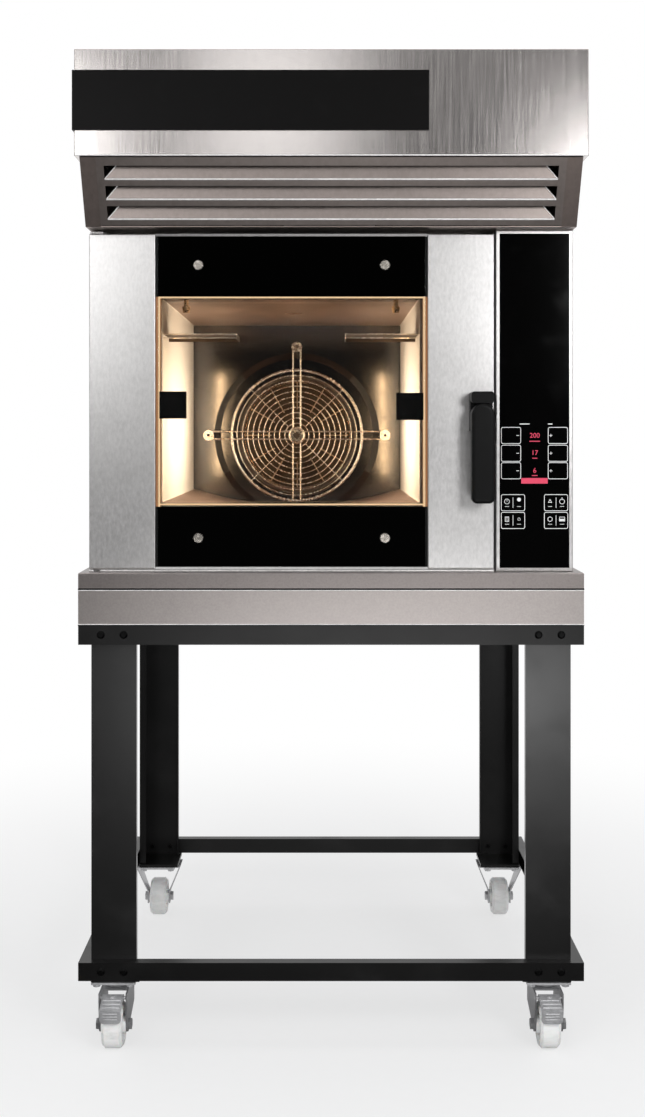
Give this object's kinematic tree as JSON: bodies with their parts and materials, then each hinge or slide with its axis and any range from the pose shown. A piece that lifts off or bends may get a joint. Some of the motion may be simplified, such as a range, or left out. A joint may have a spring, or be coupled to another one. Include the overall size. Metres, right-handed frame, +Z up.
{
  "type": "convection oven",
  "caption": "Electric convection oven with a glazed side-hinged door and touch controls, a louvred steam hood on top and a black stand on castors below.",
  "frame": {"origin": "on the floor, under the middle of the whole object's box", "axes": "+Z up, +X to the right seen from the front, the door faces -Y"},
  "size_m": [0.898, 1, 1.783],
  "materials": {
    "stainless_steel": "fine satin brushed",
    "black_powder_coat": "satin black powder coat",
    "clear_glass": "clear tempered",
    "zinc_plate": "bright zinc plate",
    "white_nylon": "smooth moulded",
    "cavity_steel": "polished",
    "mineral_wool": "fibrous",
    "black_plastic": "fine moulded grain",
    "cast_metal": "cast",
    "bright_wire": "polished",
    "heater_sheath": "heat tinted",
    "seal_rubber": "matte silicone",
    "black_inner_paint": "matte black",
    "lamp_glass": "frosted",
    "black_glass": "gloss, back painted",
    "black_gloss": "high gloss",
    "circuit_board": "solder mask"
  },
  "bodies": {
    "frame": {"front_legs": "black_powder_coat", "rear_legs": "black_powder_coat", "upper_rails": "black_powder_coat", "lower_rails": "black_powder_coat", "frame_bolts": "black_powder_coat", "stand_apron": "stainless_steel", "stand_top": "stainless_steel", "castor_plates": "zinc_plate", "rear_forks": "zinc_plate", "cavity": "cavity_steel", "cavity_insulation": "mineral_wool", "side_panels": "stainless_steel", "top_panel": "stainless_steel", "base_panel": "stainless_steel", "rear_panel": "stainless_steel", "cable_gland": "black_plastic", "motor_cover": "stainless_steel", "fan_motor": "cast_metal", "vent_pipe": "cavity_steel", "fan_baffle": "cavity_steel", "fan_guard": "bright_wire", "heating_element": "heater_sheath", "air_shades": "cavity_steel", "ceiling_studs": "bright_wire", "door_seal": "seal_rubber", "hinge_brackets": "stainless_steel", "latch_keeper": "zinc_plate", "control_housing": "stainless_steel", "control_glass": "black_glass", "control_board": "circuit_board", "hood_box": "stainless_steel", "hood_skirt": "stainless_steel", "hood_louvre_panel": "stainless_steel", "hood_front_plate": "black_gloss", "flue_collar": "stainless_steel", "hood_fan_motor": "cast_metal"},
    "door": {"door_left_stile": "stainless_steel", "door_right_stile": "stainless_steel", "hinge_pins": "bright_wire", "door_rails": "black_inner_paint", "door_outer_glass": "clear_glass", "door_inner_glass": "clear_glass", "door_glass_screws": "bright_wire", "door_trims": "stainless_steel", "door_lamps": "lamp_glass", "handle_base": "black_plastic", "latch_roller": "zinc_plate"},
    "handle": {"handle_lever": "black_plastic", "handle_spindle": "zinc_plate"},
    "fan": {"fan_wheel": "cavity_steel"},
    "hood_fan": {"hood_fan_wheel": "zinc_plate"},
    "front_left_castor": {"front_left_fork": "zinc_plate"},
    "front_right_castor": {"front_right_fork": "zinc_plate"},
    "front_left_roller": {"front_left_wheel": "white_nylon"},
    "front_right_roller": {"front_right_wheel": "white_nylon"},
    "rear_left_roller": {"rear_left_wheel": "white_nylon"},
    "rear_right_roller": {"rear_right_wheel": "white_nylon"},
    "front_left_brake": {"front_left_brake_pedal": "zinc_plate"},
    "front_right_brake": {"front_right_brake_pedal": "zinc_plate"}
  },
  "joints": [
    {"name": "door_swing", "type": "hinge", "parent": "frame", "child": "door", "pos_m": [-0.418, -0.375, 1.145], "axis": [0, 0, -1], "range_deg": [0, 115]},
    {"name": "handle_turn", "type": "hinge", "parent": "door", "child": "handle", "pos_m": [0.265, -0.39, 1.121], "axis": [0, 1, 0], "range_deg": [0, 90]},
    {"name": "fan_spin", "type": "hinge", "parent": "frame", "child": "fan", "pos_m": [-0.073, 0.36, 1.085], "axis": [0, 1, 0], "continuous": true},
    {"name": "hood_fan_spin", "type": "hinge", "parent": "frame", "child": "hood_fan", "pos_m": [0, 0.215, 1.56], "axis": [0, 0, 1], "continuous": true},
    {"name": "front_left_swivel", "type": "hinge", "parent": "frame", "child": "front_left_castor", "pos_m": [-0.385, -0.355, 0.1], "axis": [0, 0, 1], "continuous": true},
    {"name": "front_left_roll", "type": "hinge", "parent": "front_left_castor", "child": "front_left_roller", "pos_m": [-0.385, -0.39, 0.04], "axis": [1, 0, 0], "continuous": true},
    {"name": "front_left_brake_press", "type": "hinge", "parent": "front_left_castor", "child": "front_left_brake", "pos_m": [-0.385, -0.4025, 0.0906], "axis": [1, 0, 0], "range_deg": [0, 10]},
    {"name": "rear_left_roll", "type": "hinge", "parent": "frame", "child": "rear_left_roller", "pos_m": [-0.385, 0.305, 0.04], "axis": [1, 0, 0], "continuous": true},
    {"name": "front_right_swivel", "type": "hinge", "parent": "frame", "child": "front_right_castor", "pos_m": [0.385, -0.355, 0.1], "axis": [0, 0, 1], "continuous": true},
    {"name": "front_right_roll", "type": "hinge", "parent": "front_right_castor", "child": "front_right_roller", "pos_m": [0.385, -0.39, 0.04], "axis": [1, 0, 0], "continuous": true},
    {"name": "front_right_brake_press", "type": "hinge", "parent": "front_right_castor", "child": "front_right_brake", "pos_m": [0.385, -0.4025, 0.0906], "axis": [1, 0, 0], "range_deg": [0, 10]},
    {"name": "rear_right_roll", "type": "hinge", "parent": "frame", "child": "rear_right_roller", "pos_m": [0.385, 0.305, 0.04], "axis": [1, 0, 0], "continuous": true}
  ]
}
